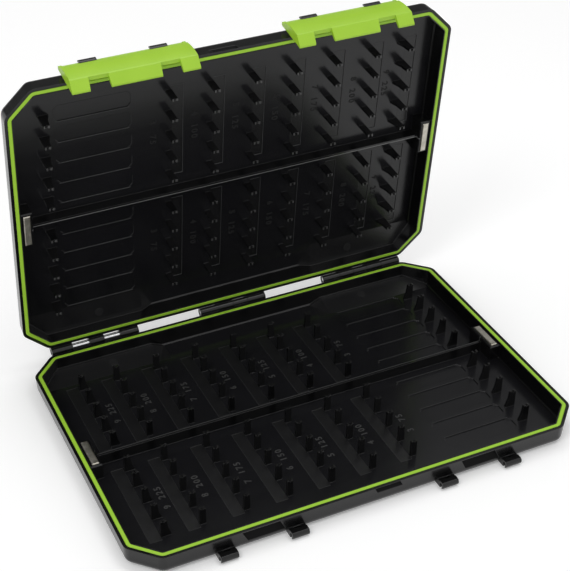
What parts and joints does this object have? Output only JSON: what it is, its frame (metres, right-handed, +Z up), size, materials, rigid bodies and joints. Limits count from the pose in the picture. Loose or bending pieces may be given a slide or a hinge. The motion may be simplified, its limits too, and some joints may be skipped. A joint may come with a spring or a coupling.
{
  "type": "rig box",
  "caption": "Slim hinged rig box of moulded halves with rows of forked pegs, sealing cords, magnets, steel hinge pins and snap latches, its lid standing open.",
  "frame": {"origin": "centre of the base's flat underside", "axes": "+X along the hinge to the right as seen from the front, +Y from the latches to the hinge, +Z up"},
  "size_m": [0.2704, 0.2029, 0.2039],
  "materials": {
    "black_plastic": "semi-gloss injection moulded, near black",
    "green_plastic": "smooth lime green moulding",
    "green_seal": "soft satin lime green cord",
    "steel_pin": "bright drawn steel rod",
    "magnet_metal": "plated bar with fine scuffs"
  },
  "bodies": {
    "base": {"base_shell": "black_plastic", "base_seal": "green_seal", "hinge_pin_middle": "steel_pin", "hinge_pin_right": "steel_pin", "base_magnet_left": "magnet_metal", "base_magnet_right": "magnet_metal"},
    "lid": {"lid_shell": "black_plastic", "lid_seal": "green_seal", "hinge_pin_left": "steel_pin", "lid_magnet_left": "magnet_metal", "lid_magnet_right": "magnet_metal"},
    "latch_left": {"latch_left": "green_plastic"},
    "latch_right": {"latch_right": "green_plastic"}
  },
  "joints": [
    {"name": "lid_hinge", "type": "hinge", "parent": "base", "child": "lid", "pos_m": [0, 0.0946, 0.0125], "axis": [-1, 0, 0], "range_deg": [-84, 96]},
    {"name": "latch_hinge_left", "type": "hinge", "parent": "lid", "child": "latch_left", "pos_m": [-0.06525, 0.08468, 0.20155], "axis": [-1, 0, 0], "range_deg": [0, 100]},
    {"name": "latch_hinge_right", "type": "hinge", "parent": "lid", "child": "latch_right", "pos_m": [0.06525, 0.08468, 0.20155], "axis": [-1, 0, 0], "range_deg": [0, 100]}
  ]
}
